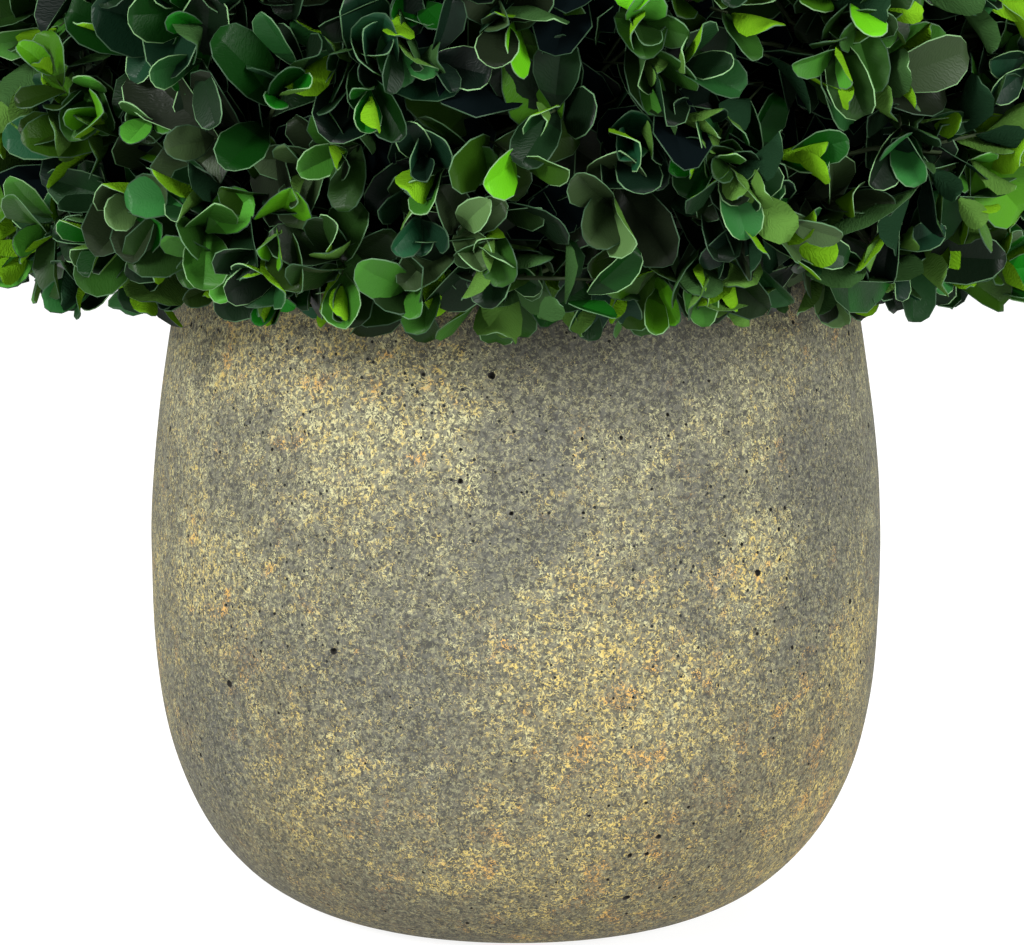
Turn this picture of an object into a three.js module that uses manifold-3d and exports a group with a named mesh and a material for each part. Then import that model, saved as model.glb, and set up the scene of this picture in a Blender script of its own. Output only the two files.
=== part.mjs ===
// A clipped ball of box, planted in a rounded cement pot.
// Millimetres, +Z up. The origin is the middle of the pot's flat underside.
import * as THREE from "three";
import { mergeVertices } from "three/addons/utils/BufferGeometryUtils.js";
import Module from "manifold-3d";

const wasm = await Module();
wasm.setup();

// ---------------------------------------------------------------- driving dimensions

// The pot: widest at its belly, rounded in to a small flat foot, leaning in a little to its rim.
const POT_HEIGHT = 180;
const BELLY_RADIUS = 100;
const BELLY_HEIGHT = 97;
const FOOT_RADIUS = 50;
const FOOT_ROUND_IN = 2.9; // how fully the lower wall swells, as powers of height and of radius
const FOOT_ROUND_OUT = 1.8;
const RIM_LEAN = 10; // how far the rim stands inside the belly
const RIM_LEAN_POWER = 1.7;
const POT_WALL = 9;
const POT_FLOOR = 14;
const POT_SIDES = 60;

// The potting mix and the short stem that stands on it.
const MIX_TOP = 157;
const MIX_EDGE_TOP = 153;
const STEM_SEAT_RADIUS = 16;
const STEM_TOP = 175;
const STEM_FOOT_RADIUS = 9;
const STEM_RADIUS = 6.5;
const STEM_TIP_RADIUS = 6;
const STEM_LEAN = 2.5; // sideways, from foot to tip
const STEM_SIDES = 10;

// The ball: BALL_RADIUS reaches its furthest leaf tips. It sits on the pot with a flattened underside.
const BALL_RADIUS = 170;
const BALL_CENTRE_HEIGHT = 256;
const CORE_RADIUS = 148;
const CORE_DETAIL = 4;
const CORE_FLOOR = 184;
const UNDERSIDE = 167; // where the tips of the leaves under the ball end
const LOWEST_TIP = 160;
const SKIRT_INNER_RADIUS = 98;
const SKIRT_INNER_SPLAY = 0.16; // sideways share of the direction of a twig beside the rim

// Twigs and leaves.
const SEED = 4712;
const TWIGS = 124;
const TWIG_JITTER = 0.5; // of the distance from one twig to the next
const TWIG_RADIUS = 1.6;
const TWIG_SIDES = 3;
const LEAVES_PER_TWIG = 4;
const LEAF_LENGTH = 36;
const LEAF_WIDTH = 25;
const LEAF_KEEL = 1.2; // thickness at the midrib
const LEAF_CUP = 2.5; // how far the tip rises above the rest of the leaf
const LEAF_SHOULDER = 0.6; // where a leaf is widest, as a share of its length
const LEAF_BLUNT = 0.95; // where its tip is cut off blunt
const HEEL_INSET = 28; // from the leaves' roots out to their tips
const TWIG_TIP_INSET = 15;
const LEAF_LEAN = 0.86; // radians between a leaf and its twig
const LEAN_JITTER = 0.3;
const ROLL_JITTER = 0.3; // of the angle from one leaf to the next
const SIZE_JITTER = 0.22;
const PLACING_TRIES = 5;
const CLOSING_STEP = 0.09; // how much a leaf that doesn't fit is closed up and shrunk at each try
const LOWEST_FORK = 0.2; // the lowest place on the inner stem that a twig leaves from, as a share

// Gaps between neighbouring solids, and how close two points have to be to become one.
const GAP = 0.3;
const LEAF_CLEARANCE = 1.2;
const JOIN_TOLERANCE = 1e-4;
const CLEAN_TOLERANCE = 0.02;

const TAU = 2 * Math.PI;
const GOLDEN_ANGLE = Math.PI * (3 - Math.sqrt(5));
const UP = new THREE.Vector3(0, 0, 1);
const RIGHT = new THREE.Vector3(1, 0, 0);
const BALL_CENTRE = new THREE.Vector3(0, 0, BALL_CENTRE_HEIGHT);

// ---------------------------------------------------------------- helpers

// Seeded random numbers from 0 to 1, the same on every run, by the Lehmer rule.
function makeRandom(seed) {
  const multiplier = 16807;
  const modulus = 2 ** 31 - 1;
  let state = seed;
  return () => {
    state = (state * multiplier) % modulus;
    return state / modulus;
  };
}

// A direction square to `axis`.
function squareTo(axis) {
  const steepest = 0.8;
  const aside = Math.abs(axis.z) > steepest ? RIGHT : UP;
  return new THREE.Vector3().crossVectors(axis, aside).normalize();
}

function geometryOf(positions, faces) {
  const geometry = new THREE.BufferGeometry();
  geometry.setAttribute("position", new THREE.Float32BufferAttribute(positions, 3));
  geometry.setIndex(faces);
  return geometry;
}

// A profile of [radius, height] points turned about the Z axis.
function turned(profile, sides) {
  const points = profile.map(([radius, height]) => new THREE.Vector2(radius, height));
  return new THREE.LatheGeometry(points, sides).rotateX(Math.PI / 2);
}

// A straight or bent limb: one ring of points at each centre, square to `axis`, and a flat cut at each end.
function limb(centres, radii, sides, axis) {
  const across = squareTo(axis);
  const along = new THREE.Vector3().crossVectors(axis, across).normalize();
  const positions = [];
  const faces = [];
  centres.forEach((centre, ring) => {
    for (let side = 0; side < sides; side += 1) {
      const angle = (TAU * side) / sides;
      const point = centre.clone();
      point.addScaledVector(across, radii[ring] * Math.cos(angle));
      point.addScaledVector(along, radii[ring] * Math.sin(angle));
      positions.push(point.x, point.y, point.z);
    }
  });
  const last = (centres.length - 1) * sides;
  for (let side = 0; side < sides; side += 1) {
    const next = (side + 1) % sides;
    for (let ring = 0; ring < last; ring += sides) {
      faces.push(ring + side, ring + next, ring + sides + next);
      faces.push(ring + side, ring + sides + next, ring + sides + side);
    }
  }
  for (let side = 1; side < sides - 1; side += 1) {
    faces.push(0, side + 1, side);
    faces.push(last, last + side, last + side + 1);
  }
  return geometryOf(positions, faces);
}

// A closed geometry as a solid that can be joined or cut.
function solid(geometry) {
  const bare = geometry.clone();
  bare.deleteAttribute("normal");
  bare.deleteAttribute("uv");
  const merged = mergeVertices(bare, JOIN_TOLERANCE);
  const corners = merged.index.array;
  const kept = [];
  for (let i = 0; i < corners.length; i += 3) {
    const [a, b, c] = corners.slice(i, i + 3);
    if (a !== b && b !== c && c !== a) {
      kept.push(a, b, c);
    }
  }
  const vertProperties = new Float32Array(merged.attributes.position.array);
  const triVerts = new Uint32Array(kept);
  return new wasm.Manifold(new wasm.Mesh({ numProp: 3, vertProperties, triVerts }));
}

// The join of all the solids, without loose scraps and with sealed hollows filled.
function fused(solids) {
  const joined = solids.reduce((whole, piece) => whole.add(piece));
  const shells = joined.simplify(CLEAN_TOLERANCE).decompose();
  const largest = shells.reduce((best, shell) => (shell.volume() > best.volume() ? shell : best));
  const mesh = largest.getMesh();
  return geometryOf(mesh.vertProperties, Array.from(mesh.triVerts));
}

function named(name, geometry, colour, roughness) {
  const material = new THREE.MeshStandardMaterial({ color: colour, roughness, metalness: 0 });
  const mesh = new THREE.Mesh(geometry, material);
  mesh.name = name;
  return mesh;
}

// ---------------------------------------------------------------- the pot and what fills it

// The pot's outer radius at a height.
function potRadius(height) {
  if (height < BELLY_HEIGHT) {
    const swell = 1 - (1 - height / BELLY_HEIGHT) ** FOOT_ROUND_IN;
    return FOOT_RADIUS + (BELLY_RADIUS - FOOT_RADIUS) * swell ** (1 / FOOT_ROUND_OUT);
  }
  const lean = (height - BELLY_HEIGHT) / (POT_HEIGHT - BELLY_HEIGHT);
  return BELLY_RADIUS - RIM_LEAN * lean ** RIM_LEAN_POWER;
}

function pot() {
  const lip = POT_WALL / 2;
  const lipHeight = POT_HEIGHT - lip;
  const profile = [[0, 0], [FOOT_RADIUS, 0]];
  const lowerSteps = 9;
  for (let step = 1; step <= lowerSteps; step += 1) {
    const height = BELLY_HEIGHT * (step / lowerSteps) ** 2;
    profile.push([potRadius(height), height]);
  }
  const upperSteps = 5;
  for (let step = 1; step <= upperSteps; step += 1) {
    const height = BELLY_HEIGHT + ((lipHeight - BELLY_HEIGHT) * step) / upperSteps;
    profile.push([potRadius(height), height]);
  }
  const lipSteps = 4;
  for (let step = 1; step < lipSteps; step += 1) {
    const angle = (Math.PI * step) / lipSteps;
    profile.push([potRadius(lipHeight) - lip + lip * Math.cos(angle), lipHeight + lip * Math.sin(angle)]);
  }
  const innerSteps = 7;
  for (let step = 0; step <= innerSteps; step += 1) {
    const height = lipHeight - (lipHeight - POT_FLOOR) * (step / innerSteps);
    profile.push([potRadius(height) - POT_WALL, height]);
  }
  profile.push([0, POT_FLOOR]);
  return turned(profile, POT_SIDES);
}

function pottingMix() {
  const profile = [[0, POT_FLOOR + GAP]];
  const steps = 6;
  for (let step = 0; step <= steps; step += 1) {
    const height = POT_FLOOR + GAP + (MIX_EDGE_TOP - POT_FLOOR - GAP) * (step / steps);
    profile.push([potRadius(height) - POT_WALL - 2 * GAP, height]);
  }
  profile.push([STEM_SEAT_RADIUS, MIX_TOP], [0, MIX_TOP]);
  return turned(profile, POT_SIDES);
}

// ---------------------------------------------------------------- the stem

// The stem flares at its foot, is cut flat where it stands on the potting mix, and leans a little.
function stem() {
  const foot = MIX_TOP + GAP;
  const rise = STEM_TOP - foot;
  const flareTop = 0.3;
  const shares = [0, flareTop, 1];
  const centres = shares.map((share) => new THREE.Vector3(STEM_LEAN * share, 0, foot + rise * share));
  return limb(centres, [STEM_FOOT_RADIUS, STEM_RADIUS, STEM_TIP_RADIUS], STEM_SIDES, UP);
}

// The stem's upper end, inside the ball, which every twig grows from.
function innerStem() {
  const foot = new THREE.Vector3(STEM_LEAN, 0, STEM_TOP + GAP);
  const tip = new THREE.Vector3(0, 0, BALL_CENTRE_HEIGHT);
  return limb([foot, tip], [STEM_TIP_RADIUS, STEM_TIP_RADIUS / 2], STEM_SIDES, UP);
}

// ---------------------------------------------------------------- the ball of foliage

// Where the leaf tips of one twig end, and the way that the twig points there. `share` runs in equal areas
// from the top of the ball (0), over its dome and in along its underside to the edge of the pot (1).
function surfaceSpot(share, turn) {
  const domeDepth = BALL_RADIUS + BALL_CENTRE_HEIGHT - UNDERSIDE;
  const edgeRadius = Math.sqrt(BALL_RADIUS ** 2 - (BALL_CENTRE_HEIGHT - UNDERSIDE) ** 2);
  const domeArea = TAU * BALL_RADIUS * domeDepth;
  const skirtArea = Math.PI * (edgeRadius ** 2 - SKIRT_INNER_RADIUS ** 2);
  const area = share * (domeArea + skirtArea);
  const outward = new THREE.Vector3(Math.cos(turn), Math.sin(turn), 0);
  if (area < domeArea) {
    const rise = 1 - area / (TAU * BALL_RADIUS ** 2);
    const direction = outward.multiplyScalar(Math.sqrt(1 - rise ** 2)).addScaledVector(UP, rise);
    return { place: BALL_CENTRE.clone().addScaledVector(direction, BALL_RADIUS), direction };
  }
  const radius = Math.sqrt(edgeRadius ** 2 - (area - domeArea) / Math.PI);
  const inward = (edgeRadius - radius) / (edgeRadius - SKIRT_INNER_RADIUS);
  const splay = THREE.MathUtils.lerp(edgeRadius / BALL_RADIUS, SKIRT_INNER_SPLAY, inward);
  const place = outward.clone().multiplyScalar(radius).addScaledVector(UP, UNDERSIDE);
  const direction = outward.multiplyScalar(splay).addScaledVector(UP, -Math.sqrt(1 - splay ** 2));
  return { place, direction };
}

// Whether a point lies in the ball's own space: within its reach and clear of the pot.
function inSpace(point) {
  const radius = Math.hypot(point.x, point.y);
  const clearOfPot = point.z > POT_HEIGHT + LEAF_CLEARANCE || radius > potRadius(point.z) + LEAF_CLEARANCE;
  return point.distanceTo(BALL_CENTRE) < BALL_RADIUS && point.z > LOWEST_TIP && clearOfPot;
}

// A box leaf: a blunt egg shape, a little spoon-like, with a keel under its midrib. Its root is at the
// origin, it points along +Y, and its upper face looks along +Z.
function leafBlade(length, width) {
  const half = width / 2;
  const quarter = width / 4;
  const shoulder = LEAF_SHOULDER * length;
  const blunt = LEAF_BLUNT * length;
  const positions = [
    0, 0, 0,
    half, shoulder, 0,
    quarter, blunt, LEAF_CUP,
    -quarter, blunt, LEAF_CUP,
    -half, shoulder, 0,
    0, shoulder, -LEAF_KEEL,
  ];
  const outline = 5;
  const keel = 5;
  const faces = [0, 1, 4, 1, 2, 4, 2, 3, 4];
  for (let corner = 0; corner < outline; corner += 1) {
    faces.push(keel, (corner + 1) % outline, corner);
  }
  return geometryOf(positions, faces);
}

// One leaf, leaning away from its twig on the side that `roll` gives, upper face towards the twig's tip.
function placedLeaf(root, direction, roll, lean, size) {
  const away = squareTo(direction).applyAxisAngle(direction, roll);
  const along = direction.clone().multiplyScalar(Math.cos(lean)).addScaledVector(away, Math.sin(lean));
  const upper = direction.clone().multiplyScalar(Math.sin(lean)).addScaledVector(away, -Math.cos(lean));
  const side = new THREE.Vector3().crossVectors(along, upper);
  const frame = new THREE.Matrix4().makeBasis(side, along, upper).setPosition(root);
  return leafBlade(LEAF_LENGTH * size, LEAF_WIDTH * size).applyMatrix4(frame);
}

// Whether a leaf keeps to the ball's space, at its corners and on the way to them. Its root lies in the core.
function leafFits(blade) {
  const partWay = 0.6;
  const corners = blade.attributes.position;
  const root = new THREE.Vector3().fromBufferAttribute(corners, 0);
  for (let corner = 1; corner < corners.count; corner += 1) {
    const point = new THREE.Vector3().fromBufferAttribute(corners, corner);
    const between = root.clone().lerp(point, partWay);
    if (!inSpace(point) || !inSpace(between)) {
      return false;
    }
  }
  return true;
}

// The leaves round the end of one twig. One that leaves the ball's space is closed up towards the twig and
// made smaller, and is skipped when that doesn't help.
function rosette(root, direction, random) {
  const blades = [];
  const firstRoll = TAU * random();
  for (let leaf = 0; leaf < LEAVES_PER_TWIG; leaf += 1) {
    const roll = firstRoll + (TAU * (leaf + ROLL_JITTER * random())) / LEAVES_PER_TWIG;
    const lean = LEAF_LEAN + LEAN_JITTER * (2 * random() - 1);
    const size = 1 - SIZE_JITTER * random();
    for (let attempt = 0; attempt < PLACING_TRIES; attempt += 1) {
      const shrink = 1 - CLOSING_STEP * attempt;
      const blade = placedLeaf(root, direction, roll, lean * shrink, size * shrink);
      if (leafFits(blade)) {
        blades.push(blade);
        break;
      }
    }
  }
  return blades;
}

// One twig from the inner stem out to its spot, with a rosette of leaves round its end.
function leafyTwig({ place, direction }, random) {
  const heel = place.clone().addScaledVector(direction, -HEEL_INSET);
  const tip = place.clone().addScaledVector(direction, -TWIG_TIP_INSET);
  const rise = (heel.z - STEM_TOP) / (BALL_CENTRE_HEIGHT - STEM_TOP);
  const forkShare = THREE.MathUtils.clamp(rise, LOWEST_FORK, 1);
  const fork = new THREE.Vector3(0, 0, THREE.MathUtils.lerp(STEM_TOP, BALL_CENTRE_HEIGHT, forkShare));
  const inner = heel.clone().sub(fork).normalize();
  const elbow = heel.clone().addScaledVector(inner, TWIG_RADIUS);
  return [
    limb([fork, elbow], [TWIG_RADIUS, TWIG_RADIUS], TWIG_SIDES, inner),
    limb([heel, tip], [TWIG_RADIUS, 0], TWIG_SIDES, direction),
    ...rosette(heel, direction, random),
  ];
}

// The dense heart of the ball, flat underneath and a little above the pot.
function core() {
  const ball = new THREE.IcosahedronGeometry(CORE_RADIUS, CORE_DETAIL);
  ball.translate(0, 0, BALL_CENTRE_HEIGHT);
  const depth = BALL_RADIUS;
  const below = new THREE.BoxGeometry(2 * BALL_RADIUS, 2 * BALL_RADIUS, depth);
  below.translate(0, 0, CORE_FLOOR - depth / 2);
  return solid(ball).subtract(solid(below));
}

function foliageBall() {
  const random = makeRandom(SEED);
  const pieces = [core(), solid(innerStem())];
  for (let twig = 0; twig < TWIGS; twig += 1) {
    const share = (twig + 0.5 + TWIG_JITTER * (random() - 0.5)) / TWIGS;
    const turn = twig * GOLDEN_ANGLE + (TWIG_JITTER * (random() - 0.5)) / Math.sqrt(TWIGS);
    const limbs = leafyTwig(surfaceSpot(share, turn), random);
    pieces.push(...limbs.map(solid));
  }
  return fused(pieces);
}

// ---------------------------------------------------------------- the whole plant

const plant = new THREE.Group();
plant.add(named("pot", pot(), 0x7d7663, 0.92));
plant.add(named("potting_mix", pottingMix(), 0x2c231b, 1));
plant.add(named("stem", stem(), 0x5a4a36, 0.9));
plant.add(named("foliage_ball", foliageBall(), 0x2f5a2a, 0.6));

export default plant;
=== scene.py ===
"""A clipped ball of box in a rounded cement pot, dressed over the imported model.

Metres, +Z up, +X to the right and -Y towards the viewer. Lengths are worked out in millimetres and
turned into metres where a mesh is made.
"""
import math

import bpy
import numpy as np
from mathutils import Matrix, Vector, noise


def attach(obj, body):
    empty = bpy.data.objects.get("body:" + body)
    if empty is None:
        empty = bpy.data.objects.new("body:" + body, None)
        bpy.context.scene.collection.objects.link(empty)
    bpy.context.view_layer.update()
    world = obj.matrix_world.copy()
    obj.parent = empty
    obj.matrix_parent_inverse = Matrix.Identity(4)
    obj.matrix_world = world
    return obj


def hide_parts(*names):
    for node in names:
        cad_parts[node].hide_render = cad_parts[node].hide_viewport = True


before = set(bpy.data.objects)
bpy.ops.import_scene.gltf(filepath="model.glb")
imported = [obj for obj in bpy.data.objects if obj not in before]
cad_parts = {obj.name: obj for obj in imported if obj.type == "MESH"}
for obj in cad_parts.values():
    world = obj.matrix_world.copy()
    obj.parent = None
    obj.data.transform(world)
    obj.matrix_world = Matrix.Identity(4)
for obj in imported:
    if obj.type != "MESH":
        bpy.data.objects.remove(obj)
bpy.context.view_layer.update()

MM = 0.001
TAU = 2 * math.pi
GOLDEN_ANGLE = math.pi * (3 - math.sqrt(5))

# ---- driving dimensions, mm

# The pot, as the solids have it.
POT_HEIGHT = 180
BELLY_RADIUS = 100
BELLY_HEIGHT = 97
FOOT_RADIUS = 50
FOOT_ROUND_IN = 2.9
FOOT_ROUND_OUT = 1.8
RIM_LEAN = 10
RIM_LEAN_POWER = 1.7
POT_WALL = 9
POT_FLOOR = 14
POT_SIDES = 248
POT_STEP = 2.55
POT_UNEVEN = 0.35  # how far the hand-made wall wanders
PINHOLES = 4600  # places tried
PINHOLE_RADIUS = 0.3
PINHOLE_SPREAD = 0.42  # of the logarithm of a radius
PINHOLE_LIMIT = 0.95
PINHOLE_SIDES = 8
PORE_RADIUS = 0.42  # the finest pores, which are only dots of painted shade
PORE_SCALE = 300

# Soft patches on the wall's front: how far right of the middle, how high and how wide they are, how pale
# (dark below zero) and how warm (grey below zero). They are partly the cement's own clouds and partly
# painted light and shade: the dark ones at the top are in part a painted shadow of the ball, and the pale
# one high at the left is painted light against that shadow.
PATCHES_WITH_PAINTED_LIGHT = (
    (14, 163, 40, -0.55, -0.6),
    (46, 158, 26, -0.6, -0.4),
    (1, 140, 20, -0.6, -0.5),
    (-72, 158, 26, 0.45, 0.2),
    (72, 140, 34, -0.4, 0.5),
    (40, 122, 26, -0.25, -0.1),
    (-42, 150, 26, 0.05, 0.3),
    (-32, 116, 30, -0.2, 0.6),
    (-78, 100, 34, 0.65, 0.3),
    (1, 114, 20, -0.5, -0.4),
    (60, 106, 26, 0.65, 0.2),
    (90, 84, 26, 0.5, 0.4),
    (-38, 78, 28, -0.4, 0.0),
    (6, 112, 36, -0.4, 0.1),
    (-15, 28, 32, 0.7, 0.35),
    (52, 44, 40, -0.5, -0.2),
    (-72, 52, 30, -0.4, -0.9),
)

# The potting mix and the stem.
MIX_TOP = 157
MIX_EDGE_TOP = 153
STEM_TOP = 175
STEM_FOOT_RADIUS = 9
STEM_RADIUS = 6.5
STEM_TIP_RADIUS = 6
STEM_LEAN = 2.5
MIX_CLEARANCE = 1.0
BARK_RIDGE = 0.55

# The ball and the limbs inside it, as the solids have them.
BALL_RADIUS = 170
BALL_CENTRE_HEIGHT = 256
UNDERSIDE = 167
LOWEST_TIP = 160
SKIRT_INNER_RADIUS = 98
SKIRT_INNER_SPLAY = 0.16
SEED = 4712
TWIGS = 124
TWIG_JITTER = 0.5
TWIG_RADIUS = 1.6
LEAVES_PER_TWIG = 4
DRAWS_PER_LEAF = 3
HEEL_INSET = 28
TWIG_TIP_INSET = 15
PLACING_TRIES = 5
CLOSING_STEP = 0.09
LOWEST_FORK = 0.2
LEAF_CLEARANCE = 1.2
BALL_CENTRE = np.array([0.0, 0.0, BALL_CENTRE_HEIGHT])

# The hem of leaf tips: its height close to the pot and further out, and how far single sprigs rise above.
HEM_NEAR = 160.4
HEM_FAR = 167
HEM_NEAR_RADIUS = 103
HEM_FAR_RADIUS = 122
HEM_UNEVEN = 14

# The boughs and the finer sprigs that each of them carries.
BOUGH_END = 0.3  # how far along each limb's own tip its bough still shows
BOUGH_SWAY = 3.0
BOUGH_TAPER = (1.5, 1.25, 1.1, 1.0, 0.85, 0.4)  # of TWIG_RADIUS, from fork to tip
SPRIGS = 1230
SPRIG_JITTER = 1.6
SPRIG_SPLAY = 0.38
SPRIG_INSET = 14  # how far the deepest sprigs end inside the ball's surface
SPRIG_DEPTH = 44  # how far down from its end a sprig leaves its limb
SPRIG_KNEES = (36, 26, 14)  # depths at which its stem has a ring
SPRIG_RADIUS = 0.6
SPRIG_TAPER = (1.15, 1.05, 0.95, 0.8, 0.5)
SPRIG_OPENNESS = (0.35, 1.35)  # how wide its leaves stand
SPRIG_VIGOUR = (0.64, 1.14)  # how large they are

# The leaves: the spread of each leaf about its place on its sprig, and its size.
MISSING_LEAVES = 0.07
LEAFY_SPRIG = 4  # a sprig with fewer leaves has no stem of its own
ROOT_JITTER = 2.5
ROLL_JITTER = 0.34
LEAN_JITTER = 0.26
LEAN_LIMITS = (0.1, 1.7)
LEAF_SIZES = (0.8, 1.15)
LEAF_LENGTHS = (0.88, 1.12)
LEAF_WIDTHS = (0.84, 1.14)
LEAF_CURVES = {
    "fullness": (0.66, 1.08),  # powers of the outline towards the root and the tip
    "blunt": (0.37, 0.54),
    "fold": (0.04, 0.52),  # how steeply the halves rise from the midrib, and how much more at the edge
    "cup": (-0.1, 0.42),
    "bend": (-0.4, 0.9),  # radians, from root to tip
    "twist": (-0.35, 0.35),
    "wave": (0.0, 0.45),  # height of the edge's waves, and where along the leaf they start
    "phase": (0.0, 1.0),
    "tip": (-0.015, 0.03),  # how far the midrib's end stands out
}
LEAF_LENGTH = 22
LEAF_WIDTH = 12.8
LEAF_THICK = 0.35
LEAF_SWEEP = 0.42  # how far the edges lag behind the midrib, as a share of the half width
EDGE_WAVES = 1.6  # along a leaf
RIM_WIDTH = 0.27
PETIOLE_RADIUS = 0.5
ROOT_SHADE_SHARE = 0.2  # rows of a leaf that begin below this share of its length are a step darker, as painted shade at its base
PIECES = 6  # meshes that the leaves are joined into, each a sector of the ball

# The leaves deep in the ball, near black as painted shade.
INNER_LEAVES = 1900
INNER_SHELL = (112, 146)
INNER_SPLAY = 0.3
INNER_LEAN = (0.9, 1.5)
INNER_SIZES = (1.0, 1.35)
INNER_LOWEST = (188, 198)  # roots of the lowest lie between these heights

# The studio, in metres: white walls, which fade between two heights of view to a dimmer ceiling, and lamps,
# each with its place, width and watts.
SKY_FADE = (0.17, 0.4)
SKY_LIGHT = (1.0, 0.28)
LAMPS = {
    "key": ((-1.2, -1.35, 0.9), 0.6, 54),
    "fill": ((1.3, -1.3, 0.7), 0.8, 44),
    "top": ((0.1, 0.3, 1.8), 1.2, 22),
    "back": ((0.6, 1.6, 1.1), 1.2, 18),
}
LAMP_AIM = (0, 0, 0.2)
FLOOR_REACH = 6000  # mm

# The camera: eight degrees above the level, and so near that the ball runs off the picture.
CAMERA_AIM = (-0.0011, 0, 0.1173)
CAMERA_DISTANCE = 0.8
CAMERA_ELEVATION = 7.95  # degrees
CAMERA_LENS = 102.1
CAMERA_SENSOR = 36

rng = np.random.default_rng(SEED)


# ---- arrays and meshes

def unit(vectors):
    """Vectors made one long, along the last axis."""
    return vectors / np.linalg.norm(vectors, axis=-1, keepdims=True)


def square_to(axis):
    """For each axis, a direction square to it."""
    steep = np.abs(axis[..., 2:3]) > 0.8
    aside = np.where(steep, np.array([1.0, 0.0, 0.0]), np.array([0.0, 0.0, 1.0]))
    return unit(np.cross(axis, aside))


def turned_about(vectors, axis, angle):
    """Vectors square to their axis, turned about it."""
    cosine = np.cos(angle)[..., None]
    sine = np.sin(angle)[..., None]
    return vectors * cosine + np.cross(axis, vectors) * sine


def mesh_object(name, vertices, quads, triangles, materials, slots=None, sharp=None, uv=None):
    """An object from arrays in millimetres. `slots` gives the material of each face, quads first."""
    mesh = bpy.data.meshes.new(name)
    mesh.vertices.add(len(vertices))
    mesh.vertices.foreach_set("co", (np.asarray(vertices) * MM).astype(np.float32).ravel())
    corners = np.concatenate([np.asarray(quads).ravel(), np.asarray(triangles).ravel()]).astype(np.int32)
    starts = np.cumsum([0] + [4] * len(quads) + [3] * len(triangles))[:-1].astype(np.int32)
    mesh.loops.add(len(corners))
    mesh.loops.foreach_set("vertex_index", corners)
    mesh.polygons.add(len(starts))
    mesh.polygons.foreach_set("loop_start", starts)
    if slots is not None:
        mesh.polygons.foreach_set("material_index", np.asarray(slots).astype(np.int32))
    mesh.polygons.foreach_set("use_smooth", np.ones(len(starts), bool))
    mesh.update(calc_edges=True)
    if uv is not None:
        layer = mesh.uv_layers.new(name="blade")
        layer.uv.foreach_set("vector", uv[corners].astype(np.float32).ravel())
    if sharp is not None:
        mark_sharp(mesh, sharp)
    for material in materials:
        mesh.materials.append(material)
    item = bpy.data.objects.new(name, mesh)
    bpy.context.scene.collection.objects.link(item)
    return item


def mark_sharp(mesh, group):
    """Creases every edge whose two ends are in the same group, from 1 up, of vertices."""
    ends = np.empty(2 * len(mesh.edges), np.int32)
    mesh.edges.foreach_get("vertices", ends)
    first, second = group[ends.reshape(-1, 2)].T
    attribute = mesh.attributes.new("sharp_edge", "BOOLEAN", "EDGE")
    attribute.data.foreach_set("value", (first > 0) & (first == second))


def dress(item, slot, *nodes):
    """The piece rides with the plant and stands for CAD nodes. The slot it is given is not used."""
    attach(item, "root")
    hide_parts(*nodes)


def grid_quads(rows, columns):
    """Faces of a grid of points, row after row, with the last column joined to the first."""
    row, column = np.meshgrid(np.arange(rows - 1), np.arange(columns), indexing="ij")
    following = (column + 1) % columns
    low = row * columns
    high = low + columns
    return np.stack([low + column, low + following, high + following, high + column], -1).reshape(-1, 4)


def tubes(paths, radii, sides):
    """Many tubes at once: paths are (tube, ring, 3) and radii (tube, ring). Their ends are capped."""
    count, rings, _ = paths.shape
    axis = unit(paths[:, -1] - paths[:, 0])
    across = square_to(axis)
    along = np.cross(axis, across)
    angles = TAU * np.arange(sides) / sides
    circle = np.cos(angles)[:, None] * across[:, None] + np.sin(angles)[:, None] * along[:, None]
    points = paths[:, :, None] + radii[:, :, None, None] * circle[:, None]
    size = rings * sides
    quads = grid_quads(rings, sides)
    offsets = size * np.arange(count)[:, None, None]
    fan = np.array([[0, side + 1, side] for side in range(1, sides - 1)])
    last = size - sides
    top = np.array([[last, last + side, last + side + 1] for side in range(1, sides - 1)])
    caps = np.concatenate([fan, top])
    return points.reshape(-1, 3), (quads + offsets).reshape(-1, 4), (caps + offsets).reshape(-1, 3)


def end_fans(sides, last, centre):
    """Triangles that close a round grid: its first row at the point `centre`, and its last, which starts at
    the point `last`, at the next one."""
    side = np.arange(sides)
    following = (side + 1) % sides
    near = np.stack([np.full(sides, centre), following, side], -1)
    far = np.stack([np.full(sides, centre + 1), last + side, last + following], -1)
    return np.stack([near, far], 1).reshape(-1, 3)


# ---- the growing rule

def lehmer(seed):
    """Seeded random numbers from 0 to 1, by the rule that places the limbs of the solids."""
    state = seed
    while True:
        state = state * 16807 % (2 ** 31 - 1)
        yield state / (2 ** 31 - 1)


def pot_radius(height):
    """The pot's outer radius at each height."""
    height = np.asarray(height, float)
    low = np.clip(height / BELLY_HEIGHT, 0, 1)
    swell = 1 - (1 - low) ** FOOT_ROUND_IN
    lower = FOOT_RADIUS + (BELLY_RADIUS - FOOT_RADIUS) * swell ** (1 / FOOT_ROUND_OUT)
    lean = np.clip((height - BELLY_HEIGHT) / (POT_HEIGHT - BELLY_HEIGHT), 0, None)
    return np.where(height < BELLY_HEIGHT, lower, BELLY_RADIUS - RIM_LEAN * lean ** RIM_LEAN_POWER)


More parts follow.
